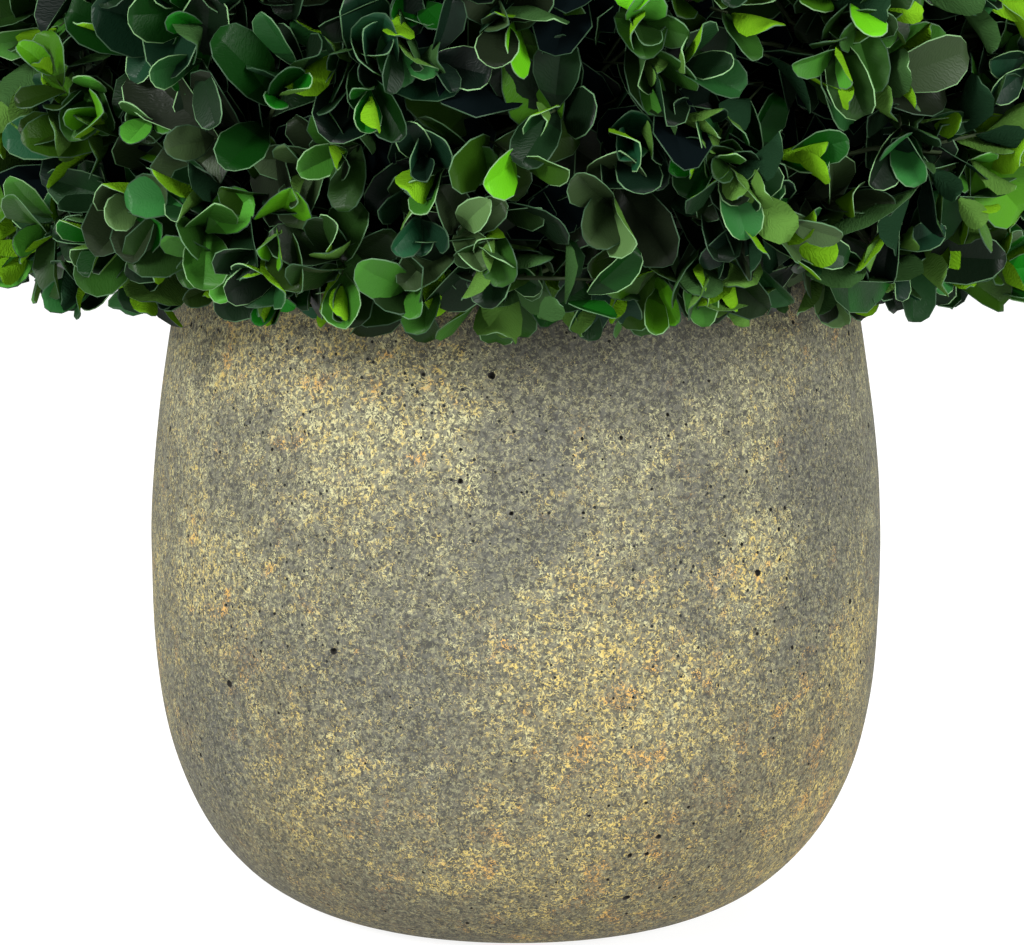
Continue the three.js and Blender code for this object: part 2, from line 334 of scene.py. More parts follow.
def surface_spots(share, turn):
    """Places evenly down the ball's dome and in along its underside, and the ways twigs point there."""
    drop = BALL_CENTRE_HEIGHT - UNDERSIDE
    edge_radius = math.sqrt(BALL_RADIUS ** 2 - drop ** 2)
    dome_area = TAU * BALL_RADIUS * (BALL_RADIUS + drop)
    skirt_area = math.pi * (edge_radius ** 2 - SKIRT_INNER_RADIUS ** 2)
    area = share * (dome_area + skirt_area)
    outward = np.stack([np.cos(turn), np.sin(turn), np.zeros_like(turn)], -1)
    up = np.array([0.0, 0.0, 1.0])

    rise = np.clip(1 - area / (TAU * BALL_RADIUS ** 2), -1, 1)[:, None]
    dome_way = outward * np.sqrt(1 - rise ** 2) + up * rise
    dome_place = BALL_CENTRE + dome_way * BALL_RADIUS

    radius = np.sqrt(edge_radius ** 2 - np.clip(area - dome_area, 0, None) / math.pi)[:, None]
    inward = (edge_radius - radius) / (edge_radius - SKIRT_INNER_RADIUS)
    splay = edge_radius / BALL_RADIUS * (1 - inward) + SKIRT_INNER_SPLAY * inward
    skirt_place = outward * radius + up * UNDERSIDE
    skirt_way = outward * splay - up * np.sqrt(1 - splay ** 2)

    on_dome = (area < dome_area)[:, None]
    return np.where(on_dome, dome_place, skirt_place), np.where(on_dome, dome_way, skirt_way)


def in_space(points):
    """Whether each point lies in the ball's own space: within its reach and clear of the pot."""
    height = points[..., 2]
    radius = np.hypot(points[..., 0], points[..., 1])
    clear = (height > POT_HEIGHT + LEAF_CLEARANCE) | (radius > pot_radius(height) + LEAF_CLEARANCE)
    reach = np.linalg.norm(points - BALL_CENTRE, axis=-1) < BALL_RADIUS
    return reach & (height > LOWEST_TIP) & clear


def main_limbs():
    """The fork, heel and tip of each limb that the solids have."""
    random = lehmer(SEED)
    share = np.empty(TWIGS)
    turn = np.empty(TWIGS)
    for twig in range(TWIGS):
        share[twig] = (twig + 0.5 + TWIG_JITTER * (next(random) - 0.5)) / TWIGS
        turn[twig] = twig * GOLDEN_ANGLE + TWIG_JITTER * (next(random) - 0.5) / math.sqrt(TWIGS)
        for _ in range(1 + DRAWS_PER_LEAF * LEAVES_PER_TWIG):
            next(random)
    place, direction = surface_spots(share, turn)
    heel = place - direction * HEEL_INSET
    tip = place - direction * TWIG_TIP_INSET
    leader = BALL_CENTRE_HEIGHT - STEM_TOP
    fork = np.zeros_like(heel)
    fork[:, 2] = STEM_TOP + leader * np.clip((heel[:, 2] - STEM_TOP) / leader, LOWEST_FORK, 1)
    return fork, heel, tip


def fine_sprigs():
    """Spots and directions of the sprigs, by the same rule in finer steps."""
    index = np.arange(SPRIGS)
    share = (index + 0.5 + SPRIG_JITTER * (rng.random(SPRIGS) - 0.5)) / SPRIGS
    turn = index * GOLDEN_ANGLE + SPRIG_JITTER * (rng.random(SPRIGS) - 0.5) * 2 / math.sqrt(SPRIGS)
    place, direction = surface_spots(np.clip(share, 0, 1), turn)
    direction = unit(direction + SPRIG_SPLAY * rng.normal(size=direction.shape))
    inset = SPRIG_INSET * rng.random((SPRIGS, 1)) ** 2
    return place - direction * inset, direction


# ---- leaves

class Blade:
    """How one kind of leaf is divided: rows along it, and round each row its upper face and its underside.

    `across` is each point's share of the half width inside the rim, or 2 on the outer edge, and `drop` how
    far it lies below the upper face, in leaf thicknesses.
    """

    def __init__(self, rows, inside):
        self.rows = np.array(rows)
        upper = [-2, -1, *[-share for share in inside], 0, *reversed(inside), 1, 2]
        under = [*reversed(inside), 0, *[-share for share in inside]]
        self.across = np.array(upper + under, float)
        self.drop = np.array([0.6, *[0.0] * (len(upper) - 2), 0.6, *[1.0] * len(under)])
        self.columns = len(self.across)
        self.top = len(upper)
        self.midrib = len(upper) // 2

    def faces(self):
        """Triangles, and the zone of each: 0 upper face, 1 rim, 2 underside, 3 root of the upper face. Both
        faces are cut the same way, from the midrib out, so that neither comes through the other, and a fan
        from the midrib's underside closes the tip."""
        triangles = []
        zones = []
        for step in range(len(self.rows) - 1):
            for first in range(self.columns):
                second = (first + 1) % self.columns
                low_first = step * self.columns + first
                low_second = step * self.columns + second
                high_first = low_first + self.columns
                high_second = low_second + self.columns
                if abs(self.across[first]) < abs(self.across[second]):
                    triangles.append((low_first, low_second, high_second))
                    triangles.append((low_first, high_second, high_first))
                else:
                    triangles.append((low_first, low_second, high_first))
                    triangles.append((low_second, high_second, high_first))
                # the root rows of the upper face take a step of painted shade
                upper = 3 if self.rows[step] < ROOT_SHADE_SHARE else 0
                zone = upper if first < self.top - 1 else 2
                if first in (0, self.top - 2):
                    zone = 1
                zones += [zone, zone]
        tip = (len(self.rows) - 1) * self.columns
        hub = self.top + (self.columns - self.top) // 2
        for first in range(self.columns):
            second = (first + 1) % self.columns
            if hub not in (first, second):
                triangles.append((tip + hub, tip + first, tip + second))
                zones.append(1)
        return np.array(triangles), np.array(zones)


FINE = Blade((0.0, 0.14, 0.34, 0.56, 0.77, 0.92, 0.985), (0.52,))
PLAIN = Blade((0.0, 0.15, 0.4, 0.68, 0.9, 0.985), ())
HIDDEN = Blade((0.0, 0.25, 0.72, 0.97), ())

# Each pair of leaves down a sprig: its depth below the sprig's end, how far it leans out, its size and kind.
PAIRS = (
    (13, 0.4, 0.86, FINE),
    (17.5, 0.6, 1.0, FINE),
    (23, 0.82, 1.04, PLAIN),
    (30, 1.0, 1.04, PLAIN),
)


def blade_points(blade, leaf):
    """Points of leaves on their own: root at the origin, pointing along +Y, upper face to +Z."""
    along = blade.rows[None, :, None]
    outline = along ** leaf["fullness"] * (1 - along) ** leaf["blunt"]
    peak = leaf["fullness"] / (leaf["fullness"] + leaf["blunt"])
    widest = peak ** leaf["fullness"] * (1 - peak) ** leaf["blunt"]
    reach = leaf["width"] / 2
    half = np.maximum(reach * outline / widest, PETIOLE_RADIUS)
    rim = np.maximum(half - RIM_WIDTH, 0.6 * half)
    share = blade.across
    x = np.where(np.abs(share) > 1, np.sign(share) * half, share * rim)
    out = np.abs(x) / reach
    sweep = LEAF_SWEEP * (half - np.abs(x)) * np.minimum(1, 5 * along * (1 - along))
    y = along * leaf["length"] - sweep
    y = y + leaf["tip"] * leaf["length"] * (1 - np.abs(x) / half) * (along > 0.95)
    z = leaf["fold"] * np.abs(x) + leaf["cup"] * out ** 2 * reach
    z = z + leaf["wave"] * out ** 2 * np.sin(TAU * (EDGE_WAVES * along + leaf["phase"]) + np.sign(x))
    z = z - LEAF_THICK * blade.drop
    bend = leaf["bend"] * y / leaf["length"]
    scale = leaf["length"] / leaf["bend"]
    bent_y = scale * np.sin(bend) + z * np.sin(bend)
    bent_z = -scale * (1 - np.cos(bend)) + z * np.cos(bend)
    twist = leaf["twist"] * along
    points = np.stack([
        x * np.cos(twist) - bent_z * np.sin(twist),
        bent_y,
        x * np.sin(twist) + bent_z * np.cos(twist),
    ], -1)
    return points, np.stack([x, y], -1)


def spread(limits, count):
    """One random number a leaf, shaped to go with its rows and columns of points."""
    return rng.uniform(*limits, (count, 1, 1))


def leaf_shapes(count, size):
    """Each leaf's own size and curves."""
    leaf = {
        "length": LEAF_LENGTH * size[:, None, None] * spread(LEAF_LENGTHS, count),
        "width": LEAF_WIDTH * size[:, None, None] * spread(LEAF_WIDTHS, count),
    }
    for name, limits in LEAF_CURVES.items():
        leaf[name] = spread(limits, count)
    leaf["bend"] += 1e-3  # never 0, because blade_points divides by it
    return leaf


def stand_leaves(blade, leaf, root, direction, roll, lean):
    """Leaves leaning away from their twigs, upper face towards the twig's tip."""
    away = turned_about(square_to(direction), direction, roll)
    cosine = np.cos(lean)[:, None]
    sine = np.sin(lean)[:, None]
    along = direction * cosine + away * sine
    upper = direction * sine - away * cosine
    side = np.cross(along, upper)
    points, marks = blade_points(blade, leaf)
    basis = np.stack([side, along, upper], 1)
    return np.einsum("nrck,nkd->nrcd", points, basis) + root[:, None, None], marks


def hem_height(points):
    """The least height of leaves at each point's distance from the pot's axis."""
    radius = np.hypot(points[..., 0], points[..., 1])
    share = ((radius - HEM_NEAR_RADIUS) / (HEM_FAR_RADIUS - HEM_NEAR_RADIUS)).clip(0, 1)
    return HEM_NEAR + (HEM_FAR - HEM_NEAR) * share


def fitted_leaves(blade, size, root, direction, roll, lean, above):
    """Leaves that keep to the ball's space, and `above` over its hem. One that can't, even when closed up
    and made smaller, is left out."""
    count = len(root)
    leaf = leaf_shapes(count, size)
    points = np.zeros((count, len(blade.rows), blade.columns, 3))
    marks = np.zeros((count, len(blade.rows), blade.columns, 2))
    waiting = np.arange(count)
    for attempt in range(PLACING_TRIES):
        shrink = 1 - CLOSING_STEP * attempt
        tried = {key: values[waiting] for key, values in leaf.items()}
        tried["length"] = tried["length"] * shrink
        tried["width"] = tried["width"] * shrink
        placed, local = stand_leaves(
            blade, tried, root[waiting], direction[waiting], roll[waiting], lean[waiting] * shrink
        )
        hem = hem_height(placed) + above[waiting][:, None, None]
        high = (placed[..., 2] > hem).all((1, 2))
        fits = in_space(placed[:, 1:]).all((1, 2)) & high
        points[waiting[fits]] = placed[fits]
        marks[waiting[fits]] = local[fits]
        waiting = waiting[~fits]
    kept = np.ones(count, bool)
    kept[waiting] = False
    return points[kept], marks[kept], kept


# ---- materials

def linear(red, green, blue):
    """A colour given as it looks on a screen, from 0 to 255, as a shader's own numbers."""
    shares = [value / 255 for value in (red, green, blue)]
    powered = [s / 12.92 if s <= 0.04045 else ((s + 0.055) / 1.055) ** 2.4 for s in shares]
    return (*powered, 1)


class Nodes:
    """Short ways to add and join the nodes of one material."""

    def __init__(self, name):
        self.material = bpy.data.materials.new(name)
        self.material.use_nodes = True
        self.tree = self.material.node_tree
        self.shader = self.tree.nodes["Principled BSDF"]

    def add(self, kind, settings=(), **inputs):
        """A new node, with its settings, and its inputs by name."""
        node = self.tree.nodes.new(kind)
        for key, value in dict(settings).items():
            setattr(node, key, value)
        for key, value in inputs.items():
            self.feed(node.inputs[key.replace("_", " ")], value)
        return node

    def feed(self, socket, value):
        """Joins another node's output to the socket, or sets it to a plain value."""
        if isinstance(value, bpy.types.NodeSocket):
            self.tree.links.new(value, socket)
        else:
            socket.default_value = value

    def place(self):
        return self.add("ShaderNodeTexCoord").outputs["Object"]

    def height(self, vector):
        return self.add("ShaderNodeSeparateXYZ", Vector=vector).outputs["Z"]

    def noise(self, vector, scale, detail=2.0, roughness=0.5, distortion=0.0):
        node = self.add(
            "ShaderNodeTexNoise", Vector=vector, Scale=scale, Detail=detail,
            Roughness=roughness, Distortion=distortion,
        )
        return node.outputs["Fac"]

    def maths(self, operation, first, second=0.0):
        node = self.add("ShaderNodeMath", {"operation": operation})
        self.feed(node.inputs[0], first)
        self.feed(node.inputs[1], second)
        return node.outputs[0]

    def vectors(self, operation, first, second, output="Vector"):
        node = self.add("ShaderNodeVectorMath", {"operation": operation}, Vector=first)
        self.feed(node.inputs[1], second)
        return node.outputs[output]

    def scaled(self, value, factor):
        return self.maths("MULTIPLY", value, factor)

    def between(self, value, low, high, bottom=0.0, top=1.0):
        """The value's place from low to high, eased, as a number from bottom to top."""
        node = self.add("ShaderNodeMapRange", {"interpolation_type": "SMOOTHSTEP"})
        for index, number in enumerate((value, low, high, bottom, top)):
            self.feed(node.inputs[index], number)
        return node.outputs["Result"]

    def mix(self, share, first, second):
        node = self.add("ShaderNodeMix", {"data_type": "RGBA"})
        self.feed(node.inputs[0], share)
        self.feed(node.inputs[6], first)
        self.feed(node.inputs[7], second)
        return node.outputs[2]

    def sum(self, *values):
        total = values[0]
        for value in values[1:]:
            total = self.maths("ADD", total, value)
        return total

    def set(self, socket, value):
        """Joins or sets one socket of the material's shader."""
        self.feed(self.shader.inputs[socket], value)

    def relieve(self, height, distance, strength):
        """Gives the surface fine relief, `distance` metres deep."""
        node = self.add("ShaderNodeBump", Height=height, Distance=distance, Strength=strength)
        self.set("Normal", node.outputs["Normal"])


# The cement's colours, as they look on a screen.
GROUND_DARK = (74, 74, 68)
GROUND_PALE = (106, 104, 86)
GROUND_WARM = (100, 90, 58)
MOTTLE = (50, 50, 46)
SPECK = (132, 130, 100)
CREAM = (166, 163, 122)
OCHRE = (176, 156, 88)
RUST = (188, 142, 70)
# The dark of the finest pores, as painted shade.
PORE_SHADE = (20, 21, 18)


def wandered(nodes, place):
    """Places moved a little from where they are, so that the patches have uneven edges."""
    apart = nodes.add("ShaderNodeTexNoise", Vector=place, Scale=60.0, Detail=3.0).outputs["Color"]
    apart = nodes.vectors("SUBTRACT", apart, (0.5, 0.5, 0.5))
    apart = nodes.add("ShaderNodeVectorMath", {"operation": "SCALE"}, Vector=apart, Scale=0.03).outputs[0]
    return nodes.vectors("ADD", place, apart)


def pot_tone_with_painted_light(nodes, place):
    """How pale and how warm the wall is from place to place: clouds all round, darker towards the foot, a
    paler band just under the ball that is painted light against its shadow, and the front's patches, which
    are partly painted light and shade.
    """
    moved = wandered(nodes, place)
    height = nodes.height(place)
    tone_with_painted_light = nodes.sum(
        nodes.between(nodes.noise(moved, 15, 3, 0.55), 0.3, 0.7, -0.65, 0.25),
        nodes.between(height, 0.0, 0.1, -0.75, -0.1),
        # painted light: a paler band just under the ball, against the ball's own shadow on the wall
        nodes.between(height, 0.12, 0.17, 0.0, 0.35),
    )
    warmth = nodes.sum(
        nodes.between(nodes.noise(moved, 11, 2, 0.5), 0.3, 0.7, -0.5, 0.5),
        nodes.between(height, 0.0, 0.14, 1.2, -0.35),
    )
    for right, up, reach, pale, warm in PATCHES_WITH_PAINTED_LIGHT:
        front = -math.sqrt(max(0.0, float(pot_radius(up)) ** 2 - right ** 2))
        away = nodes.vectors("DISTANCE", moved, (right * MM, front * MM, up * MM), "Value")
        near = nodes.between(away, 0.0, reach * MM, 1.0, 0.0)
        tone_with_painted_light = nodes.sum(tone_with_painted_light, nodes.scaled(near, pale))
        warmth = nodes.sum(warmth, nodes.scaled(near, warm))
    return tone_with_painted_light, warmth


def cement_ground(nodes, place, tone_with_painted_light, warmth, mottle):
    """The grey-brown ground between the flecks, with dark mottles and pale specks."""
    ground = nodes.mix(nodes.between(tone_with_painted_light, -1.0, 1.0), linear(*GROUND_DARK), linear(*GROUND_PALE))
    ground = nodes.mix(nodes.between(warmth, 0.0, 1.3, 0.0, 0.4), ground, linear(*GROUND_WARM))
    ground = nodes.mix(nodes.between(mottle, 0.4, 0.6, 0.0, 0.85), ground, linear(*MOTTLE))
    speck = nodes.noise(place, 1150, 2, 0.6, 0.8)
    return nodes.mix(nodes.between(speck, 0.5, 0.66, 0.0, 0.55), ground, linear(*SPECK))


def cement_flecks(nodes, place, tone_with_painted_light, warmth):
    """Where the crooked flecks lie. They crowd together where the wall is pale and warm."""
    squiggle = nodes.noise(place, 880, 2.0, 0.5, 1.0)
    ridge = nodes.maths("ABSOLUTE", nodes.maths("SUBTRACT", squiggle, 0.5))
    stroke = nodes.noise(place, 1000, 1.0, 0.5, 0.4)
    cluster = nodes.between(nodes.noise(place, 170, 3, 0.6), 0.3, 0.7, -0.42, 0.34)
    crowding = nodes.sum(tone_with_painted_light, nodes.scaled(warmth, 0.25), cluster)
    width = nodes.between(crowding, -1.1, 1.1, 0.0, 0.1)
    fleck = nodes.between(nodes.maths("SUBTRACT", width, ridge), -0.03, 0.035)
    return nodes.scaled(fleck, nodes.between(stroke, 0.38, 0.58, 0.1, 0.95))


def fleck_colour(nodes, place, warmth):
    """Cream and ochre, with a little rust."""
    hue = nodes.sum(nodes.noise(place, 330, 4, 0.75, 0.6), nodes.scaled(warmth, 0.09))
    colour = nodes.mix(nodes.between(hue, 0.4, 0.62), linear(*CREAM), linear(*OCHRE))
    rust = nodes.sum(nodes.noise(place, 95, 4, 0.65, 0.5), nodes.scaled(warmth, 0.04))
    return nodes.mix(nodes.between(rust, 0.57, 0.68, 0.0, 0.85), colour, linear(*RUST))


def pores(nodes, place):
    """The finest pores: dots of painted shade in crowds, and none near the foot."""
    apart = nodes.add("ShaderNodeTexVoronoi", Vector=place, Scale=PORE_SCALE).outputs["Distance"]
    radius = nodes.between(nodes.noise(place, 24, 2), 0.36, 0.56, 0.0, PORE_RADIUS * PORE_SCALE * MM)
    radius = nodes.scaled(radius, nodes.between(nodes.height(place), 0.03, 0.09))
    return nodes.between(nodes.maths("SUBTRACT", radius, apart), -0.012, 0.012)


def cement():
    """Matt cement: grey-brown, clouded, with dense fine flecks of ochre and cream and a little rust, with
    painted light and shade in its paleness, and with the finest pores as dots of painted shade.
    """
    nodes = Nodes("pot_cement")
    place = nodes.place()
    tone_with_painted_light, warmth = pot_tone_with_painted_light(nodes, place)
    mottle = nodes.noise(place, 640, 3, 0.65, 0.5)
    ground = cement_ground(nodes, place, tone_with_painted_light, warmth, mottle)
    flecks = cement_flecks(nodes, place, tone_with_painted_light, warmth)
    colour = nodes.mix(flecks, ground, fleck_colour(nodes, place, warmth))
    nodes.set("Base Color", nodes.mix(pores(nodes, place), colour, linear(*PORE_SHADE)))
    grain = nodes.noise(place, 1500, 1, 0.6)
    nodes.relieve(nodes.sum(nodes.scaled(grain, 0.5), nodes.scaled(mottle, 0.4)), 0.0002, 0.5)
    nodes.set("Roughness", nodes.between(mottle, 0.3, 0.7, 0.82, 0.95))
    nodes.set("Specular IOR Level", 0.25)
    return nodes.material


def pinhole_painted_shade():
    """The inside of the pinholes, near black as painted shade in their depth."""
    nodes = Nodes("pinhole_painted_shade")
    nodes.set("Base Color", linear(26, 24, 20))
    nodes.set("Roughness", 0.95)
    nodes.relieve(nodes.noise(nodes.place(), 2500, 2), 0.0001, 0.5)
    return nodes.material


def leaf_material(name, colour, finish):
    """One zone of a leaf: a plain colour, with fine feathered veins, if any, that only the light shows."""
    roughness, specular, veins = finish
    nodes = Nodes(name)
    nodes.set("Base Color", colour)
    nodes.set("Roughness", roughness)
    nodes.set("Specular IOR Level", specular)
    if not veins:
        return nodes.material
    blade = nodes.add("ShaderNodeUVMap", {"uv_map": "blade"}).outputs["UV"]
    parts = nodes.add("ShaderNodeSeparateXYZ", Vector=blade)
    across = nodes.maths("ABSOLUTE", parts.outputs["X"])
    slant = nodes.maths("SUBTRACT", parts.outputs["Y"], nodes.scaled(across, 0.9))
    waver = nodes.scaled(nodes.noise(blade, 0.6, 1), 3.0)
    vein = nodes.maths("SINE", nodes.scaled(nodes.sum(slant, waver), 6.0))
    nodes.relieve(nodes.sum(nodes.scaled(vein, veins), waver), 0.00006, 0.4)
    return nodes.material


def bark():
    """Dark grey-brown bark with finer, darker cracks."""
    nodes = Nodes("bark")
    place = nodes.place()
    patch = nodes.noise(place, 260, 4, 0.6, 0.5)
    crack = nodes.noise(place, 900, 3, 0.6, 1.0)
    colour = nodes.mix(nodes.between(patch, 0.35, 0.65), linear(38, 34, 24), linear(68, 64, 46))
    nodes.set("Base Color", nodes.mix(nodes.between(crack, 0.5, 0.62, 0.0, 0.7), colour, linear(24, 21, 15)))
    nodes.set("Roughness", 0.85)
    nodes.relieve(crack, 0.0004, 0.7)
    return nodes.material


def soil():
    """Dark potting mix in lumps, with pale fibres."""
    nodes = Nodes("potting_mix")
    place = nodes.place()
    lump = nodes.noise(place, 300, 4, 0.65, 0.4)
    fibre = nodes.noise(place, 1100, 2, 0.5, 2.0)
    colour = nodes.mix(nodes.between(lump, 0.35, 0.65), linear(34, 25, 18), linear(66, 49, 36))
    colour = nodes.mix(nodes.between(fibre, 0.58, 0.66, 0.0, 0.6), colour, linear(104, 82, 58))
    nodes.set("Base Color", colour)
    nodes.set("Roughness", 0.95)
    nodes.relieve(lump, 0.001, 0.8)
    return nodes.material


# A spray's tint, as its upper faces look in full light, and how often it is drawn.
TINTS = {
    "bottle": ((24, 60, 26), 0.28),
    "deep": ((15, 44, 26), 0.16),
    "emerald": ((12, 76, 10), 0.16),
    "leaf": ((44, 88, 26), 0.23),
    "olive": ((50, 70, 38), 0.07),
    "lime": ((58, 110, 12), 0.11),
    # painted shade: the near-black tint of the leaves deep in the ball, drawn for no spray
    "painted_deep_shade": ((11, 21, 23), 0.0),
}
# Steps from darker to paler for each tint's upper face: partly drawn at random, partly painted shade, as the
# deeper pairs down a sprig take darker steps.
RANDOM_AND_PAINTED_SHADE_STEPS = (0.34, 0.5, 0.74, 1.0, 1.34)
# Undersides, from dark to pale: partly their own greens, partly painted shade, as the deeper pairs take
# darker ones.
UNDERSIDES = ((20, 40, 24), (42, 68, 34), (66, 98, 40), (86, 130, 20))
# Rims, from dim to pale: partly at random, partly painted shade, as the deepest pairs never take the palest.
RIMS = ((40, 62, 42), (68, 96, 66), (98, 130, 88))

# How rough each zone of a leaf is, how much it shines and how deep its veins are.
UPPER_FINISH = (0.42, 0.09, 0.4)
PAINTED_DEEP_SHADE_FINISH = (0.42, 0.0, 0.0)
UNDER_FINISH = (0.6, 0.0, 1.6)
RIM_FINISH = (0.5, 0.1, 0.0)
STEM_FINISH = (0.6, 0.1, 0.0)


def shaded(colour, factor):
    """A tint made darker or paler, for the steps of random and painted shade."""
    return linear(*(min(255, value * factor) for value in colour))


def leaf_materials():
    """The upper face of each tint in steps from darker to paler, partly random and partly painted shade,
    then the undersides and the rims.
    """
    found = []
    for tint, (colour, _) in TINTS.items():
        finish = PAINTED_DEEP_SHADE_FINISH if tint == "painted_deep_shade" else UPPER_FINISH
        for number, shade in enumerate(RANDOM_AND_PAINTED_SHADE_STEPS):
            found.append(leaf_material(f"{tint}_{number + 1}", shaded(colour, shade), finish))
    for number, colour in enumerate(UNDERSIDES):
        found.append(leaf_material(f"underside_{number + 1}", linear(*colour), UNDER_FINISH))
    for number, colour in enumerate(RIMS):
        found.append(leaf_material(f"rim_{number + 1}", linear(*colour), RIM_FINISH))
    return found


def leaf_slots(zone, look):
    """The material of each face of each leaf, from the leaves' tints, shades, undersides and rims. The root
    rows of the upper face go a step darker, as painted shade.
    """
    tint, shade, under, rim = look[:, :, None]
    upper = tint * len(RANDOM_AND_PAINTED_SHADE_STEPS) + shade
    root = upper - (shade > 0)
    under = len(TINTS) * len(RANDOM_AND_PAINTED_SHADE_STEPS) + under
    rim = len(TINTS) * len(RANDOM_AND_PAINTED_SHADE_STEPS) + len(UNDERSIDES) + rim
    return np.select([zone == 0, zone == 1, zone == 3], [upper, rim, root], under)


# ---- the pot

def along_profile(profile, step):
    """The same profile with points an even step apart."""
    lengths = np.concatenate([[0], np.cumsum(np.linalg.norm(np.diff(profile, axis=0), axis=1))])
    wanted = np.linspace(0, lengths[-1], max(2, round(lengths[-1] / step) + 1))
    return np.stack([np.interp(wanted, lengths, profile[:, axis]) for axis in (0, 1)], -1)


def pot_profile():
    """Rows of (radius, height): the outer wall in even steps, the lip, and the inner wall."""
    lip = POT_WALL / 2
    lip_height = POT_HEIGHT - lip
    heights = np.concatenate([
        BELLY_HEIGHT * np.linspace(0, 1, 400) ** 2,
        np.linspace(BELLY_HEIGHT, lip_height, 200)[1:],
    ])
    outer = along_profile(np.stack([pot_radius(heights), heights], -1), POT_STEP)
    angles = np.linspace(0, math.pi, 9)[1:-1]
    lip_radius = pot_radius(lip_height) - lip
    round_lip = np.stack([lip_radius + lip * np.cos(angles), lip_height + lip * np.sin(angles)], -1)
    inner_heights = np.linspace(lip_height, POT_FLOOR, 24)
    inner = np.stack([pot_radius(inner_heights) - POT_WALL, inner_heights], -1)
    return np.concatenate([outer, round_lip, inner]), len(outer)


def pinhole(corners, inward, radius):
    """A small round hole in one face of the wall: a ragged lip, a shaft and a bottom."""
    middle = corners.mean(0)
    side = unit(corners[1] - corners[0])
    rise = unit(np.cross(side, inward))
    angles = TAU * (np.arange(PINHOLE_SIDES) + 0.5) / PINHOLE_SIDES
    ragged = radius * (1 + 0.12 * rng.normal(size=PINHOLE_SIDES)).clip(0.75, 1.25)
    lip = (np.cos(angles) * ragged)[:, None] * side + (np.sin(angles) * ragged)[:, None] * rise
    deep = middle + 0.75 * lip + inward * radius * 1.3
    bottom = (middle + inward * radius * 1.7)[None]
    return np.concatenate([middle + lip, deep, bottom])


def pinhole_cells(points, quads, outer_faces):
    """Faces of the outer wall with a pinhole: in clusters, few near foot and rim, none side by side."""
    row = 4 + rng.integers(0, outer_faces - 8, PINHOLES)
    side = rng.integers(0, POT_SIDES, PINHOLES)
    found = []
    taken = set()
    for cell in np.unique(row * POT_SIDES + side):
        spot = Vector(points[quads[cell][0]])
        middling = 1 - abs(spot.z / POT_HEIGHT - 0.55)
        wanted = middling * (0.42 + 1.5 * noise.noise(spot / 30))
        near = {cell + a * POT_SIDES + b for a in (-1, 0, 1) for b in (-1, 0, 1)}
        if rng.random() < wanted and not near & taken:
            taken.add(cell)
            found.append(cell)
    return found


def wall_points(profile):
    """Points of the pot's rows, a little uneven except at the foot, as a hand-made wall is."""
    turn = TAU * np.arange(POT_SIDES) / POT_SIDES
    radius = np.repeat(profile[:, 0:1], POT_SIDES, 1)
    height = np.repeat(profile[:, 1:2], POT_SIDES, 1)
    wander = np.empty_like(radius)
    for row, (reach, level) in enumerate(profile):
        for side, angle in enumerate(turn):
            spot = Vector((math.cos(angle) * reach, math.sin(angle) * reach, level))
            wander[row, side] = noise.noise(spot / 46) + 0.35 * noise.noise(spot / 14)
    radius = radius + POT_UNEVEN * wander * np.clip(height / 12, 0, 1)
    return np.stack([radius * np.cos(turn), radius * np.sin(turn), height], -1).reshape(-1, 3)


def pinhole_faces(hole, start, corners, corner_points):
    """Triangles from a wall face's corners to its pinhole's lip and on down to the bottom, and the material
    of each. The hole's points are numbered from `start`."""
    away = np.linalg.norm(hole[:PINHOLE_SIDES, None] - corner_points[None], axis=-1)
    nearest = corners[np.argmin(away, axis=1)]
    bottom = start + 2 * PINHOLE_SIDES
    triangles = []
    slots = []
    for step in range(PINHOLE_SIDES):
        following = (step + 1) % PINHOLE_SIDES
        lip = start + step
        next_lip = start + following
        deep = lip + PINHOLE_SIDES
        next_deep = next_lip + PINHOLE_SIDES
        triangles.append([nearest[step], next_lip, lip])
        slots.append(0)
        if nearest[step] != nearest[following]:
            triangles.append([nearest[step], nearest[following], next_lip])
            slots.append(0)
        triangles += [[lip, next_lip, next_deep], [lip, next_deep, deep], [deep, next_deep, bottom]]
        # the shaft and bottom take the pinholes' painted shade
        slots += [1, 1, 1]
    return triangles, slots


def pot_mesh():
    """The whole pot: its wall with pinholes, its lip, inner wall, floor and underside."""
    profile, outer_rows = pot_profile()
    points = wall_points(profile)
    quads = grid_quads(len(profile), POT_SIDES)
    cells = pinhole_cells(points, quads, outer_rows - 1)
    per_hole = 2 * PINHOLE_SIDES + 1
    starts = len(points) + per_hole * np.arange(len(cells))
    holes = []
    triangles = []
    slots = []
    for cell, start in zip(cells, starts):
        corners = points[quads[cell]]
        outward = unit(np.cross(corners[1] - corners[0], corners[3] - corners[0]))
        size = min(PINHOLE_LIMIT, PINHOLE_RADIUS * math.exp(PINHOLE_SPREAD * rng.normal()))
        holes.append(pinhole(corners, -outward, size))
        hole_triangles, hole_slots = pinhole_faces(holes[-1], start, quads[cell], corners)
        triangles += hole_triangles
        slots += hole_slots
    kept = np.ones(len(quads), bool)
    kept[cells] = False
    centre = len(points) + per_hole * len(cells)
    ends = end_fans(POT_SIDES, (len(profile) - 1) * POT_SIDES, centre)
    everything = np.concatenate([points, *holes, [[0, 0, 0], [0, 0, POT_FLOOR]]])
    edges = np.zeros(len(everything), int)
    edges[:POT_SIDES] = 1
    for number, start in enumerate(starts):
        edges[start:start + PINHOLE_SIDES] = number + 2
    slots = np.concatenate([np.zeros(kept.sum(), int), slots, np.zeros(len(ends), int)])
    return mesh_object(
        "cement_pot", everything, quads[kept], np.concatenate([triangles, ends]),
        [cement(), pinhole_painted_shade()], slots, edges,
    )


# ---- the potting mix, the stem and the boughs

